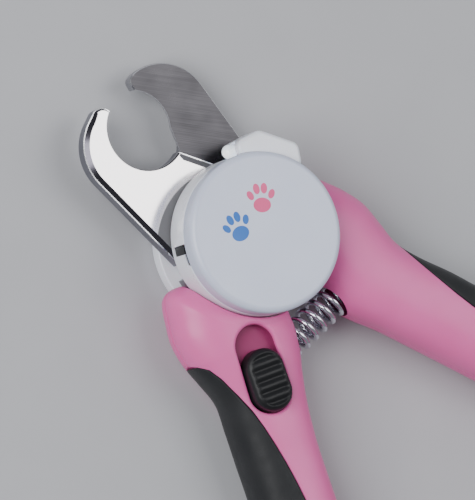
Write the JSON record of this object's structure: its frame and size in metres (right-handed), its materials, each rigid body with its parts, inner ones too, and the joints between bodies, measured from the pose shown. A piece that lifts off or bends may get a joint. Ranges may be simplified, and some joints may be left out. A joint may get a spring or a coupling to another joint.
{
  "type": "scissor nail clipper",
  "caption": "Scissor-action pet nail clipper with hooked blades, two-colour grips, a lock slider, a return spring and a small lamp in its round pivot housing.",
  "frame": {"origin": "on the pivot axis, at the flat back of the rear cover that the tool lies on", "axes": "+Z along the pivot axis towards the battery cap, +Y along the centre line between the jaws, handles towards -Y"},
  "size_m": [0.1023, 0.1343, 0.0221],
  "materials": {
    "white_plastic": "moulded, satin gloss",
    "cap_plastic": "moulded, fine satin face with a printed paw mark",
    "pink_plastic": "moulded, satin",
    "black_rubber": "soft-touch matt",
    "black_plastic": "matt moulded",
    "holder_plastic": "matt moulded",
    "brushed_blade": "ground across the blade",
    "polished_blade": "polished face with ground edges",
    "steel_hardware": "turned",
    "spring_wire": "bright plated",
    "cell_metal": "bright nickel",
    "contact_metal": "bright",
    "lamp_epoxy": "clear epoxy, lit"
  },
  "bodies": {
    "left_half": {"front_housing": "white_plastic", "coin_cell": "cell_metal", "cell_holder": "holder_plastic", "contact_clip": "contact_metal", "contact_spring": "contact_metal", "led_lamp": "lamp_epoxy", "led_leads": "steel_hardware", "upper_blade": "brushed_blade", "pivot_bolt": "steel_hardware", "pivot_washer": "steel_hardware", "pivot_nut": "steel_hardware", "left_front_shell": "pink_plastic", "left_back_shell": "pink_plastic", "left_grip": "black_rubber", "left_screws": "steel_hardware", "return_spring": "spring_wire"},
    "right_half": {"lower_blade": "polished_blade", "rear_cover": "white_plastic", "right_front_shell": "pink_plastic", "right_back_shell": "pink_plastic", "right_grip": "black_rubber", "right_screws": "steel_hardware"},
    "lock_slider": {"lock_button": "black_plastic", "lock_bar": "steel_hardware"},
    "cap": {"battery_cap": "cap_plastic"}
  },
  "joints": [
    {"name": "pivot", "type": "hinge", "parent": "left_half", "child": "right_half", "pos_m": [0, 0, 0.008], "axis": [0, 0, 1], "range_deg": [-29, 0], "stiffness_Nm_per_rad": 0.5, "springref_deg": 7.45, "deforming": ["return_spring"]},
    {"name": "lock_slide", "type": "slide", "parent": "left_half", "child": "lock_slider", "axis": [0.3778, 0.9259, 0], "range_m": [0, 0.005]},
    {"name": "cap_lift", "type": "slide", "parent": "left_half", "child": "cap", "axis": [0, 0, 1], "range_m": [0, 0.012]}
  ]
}
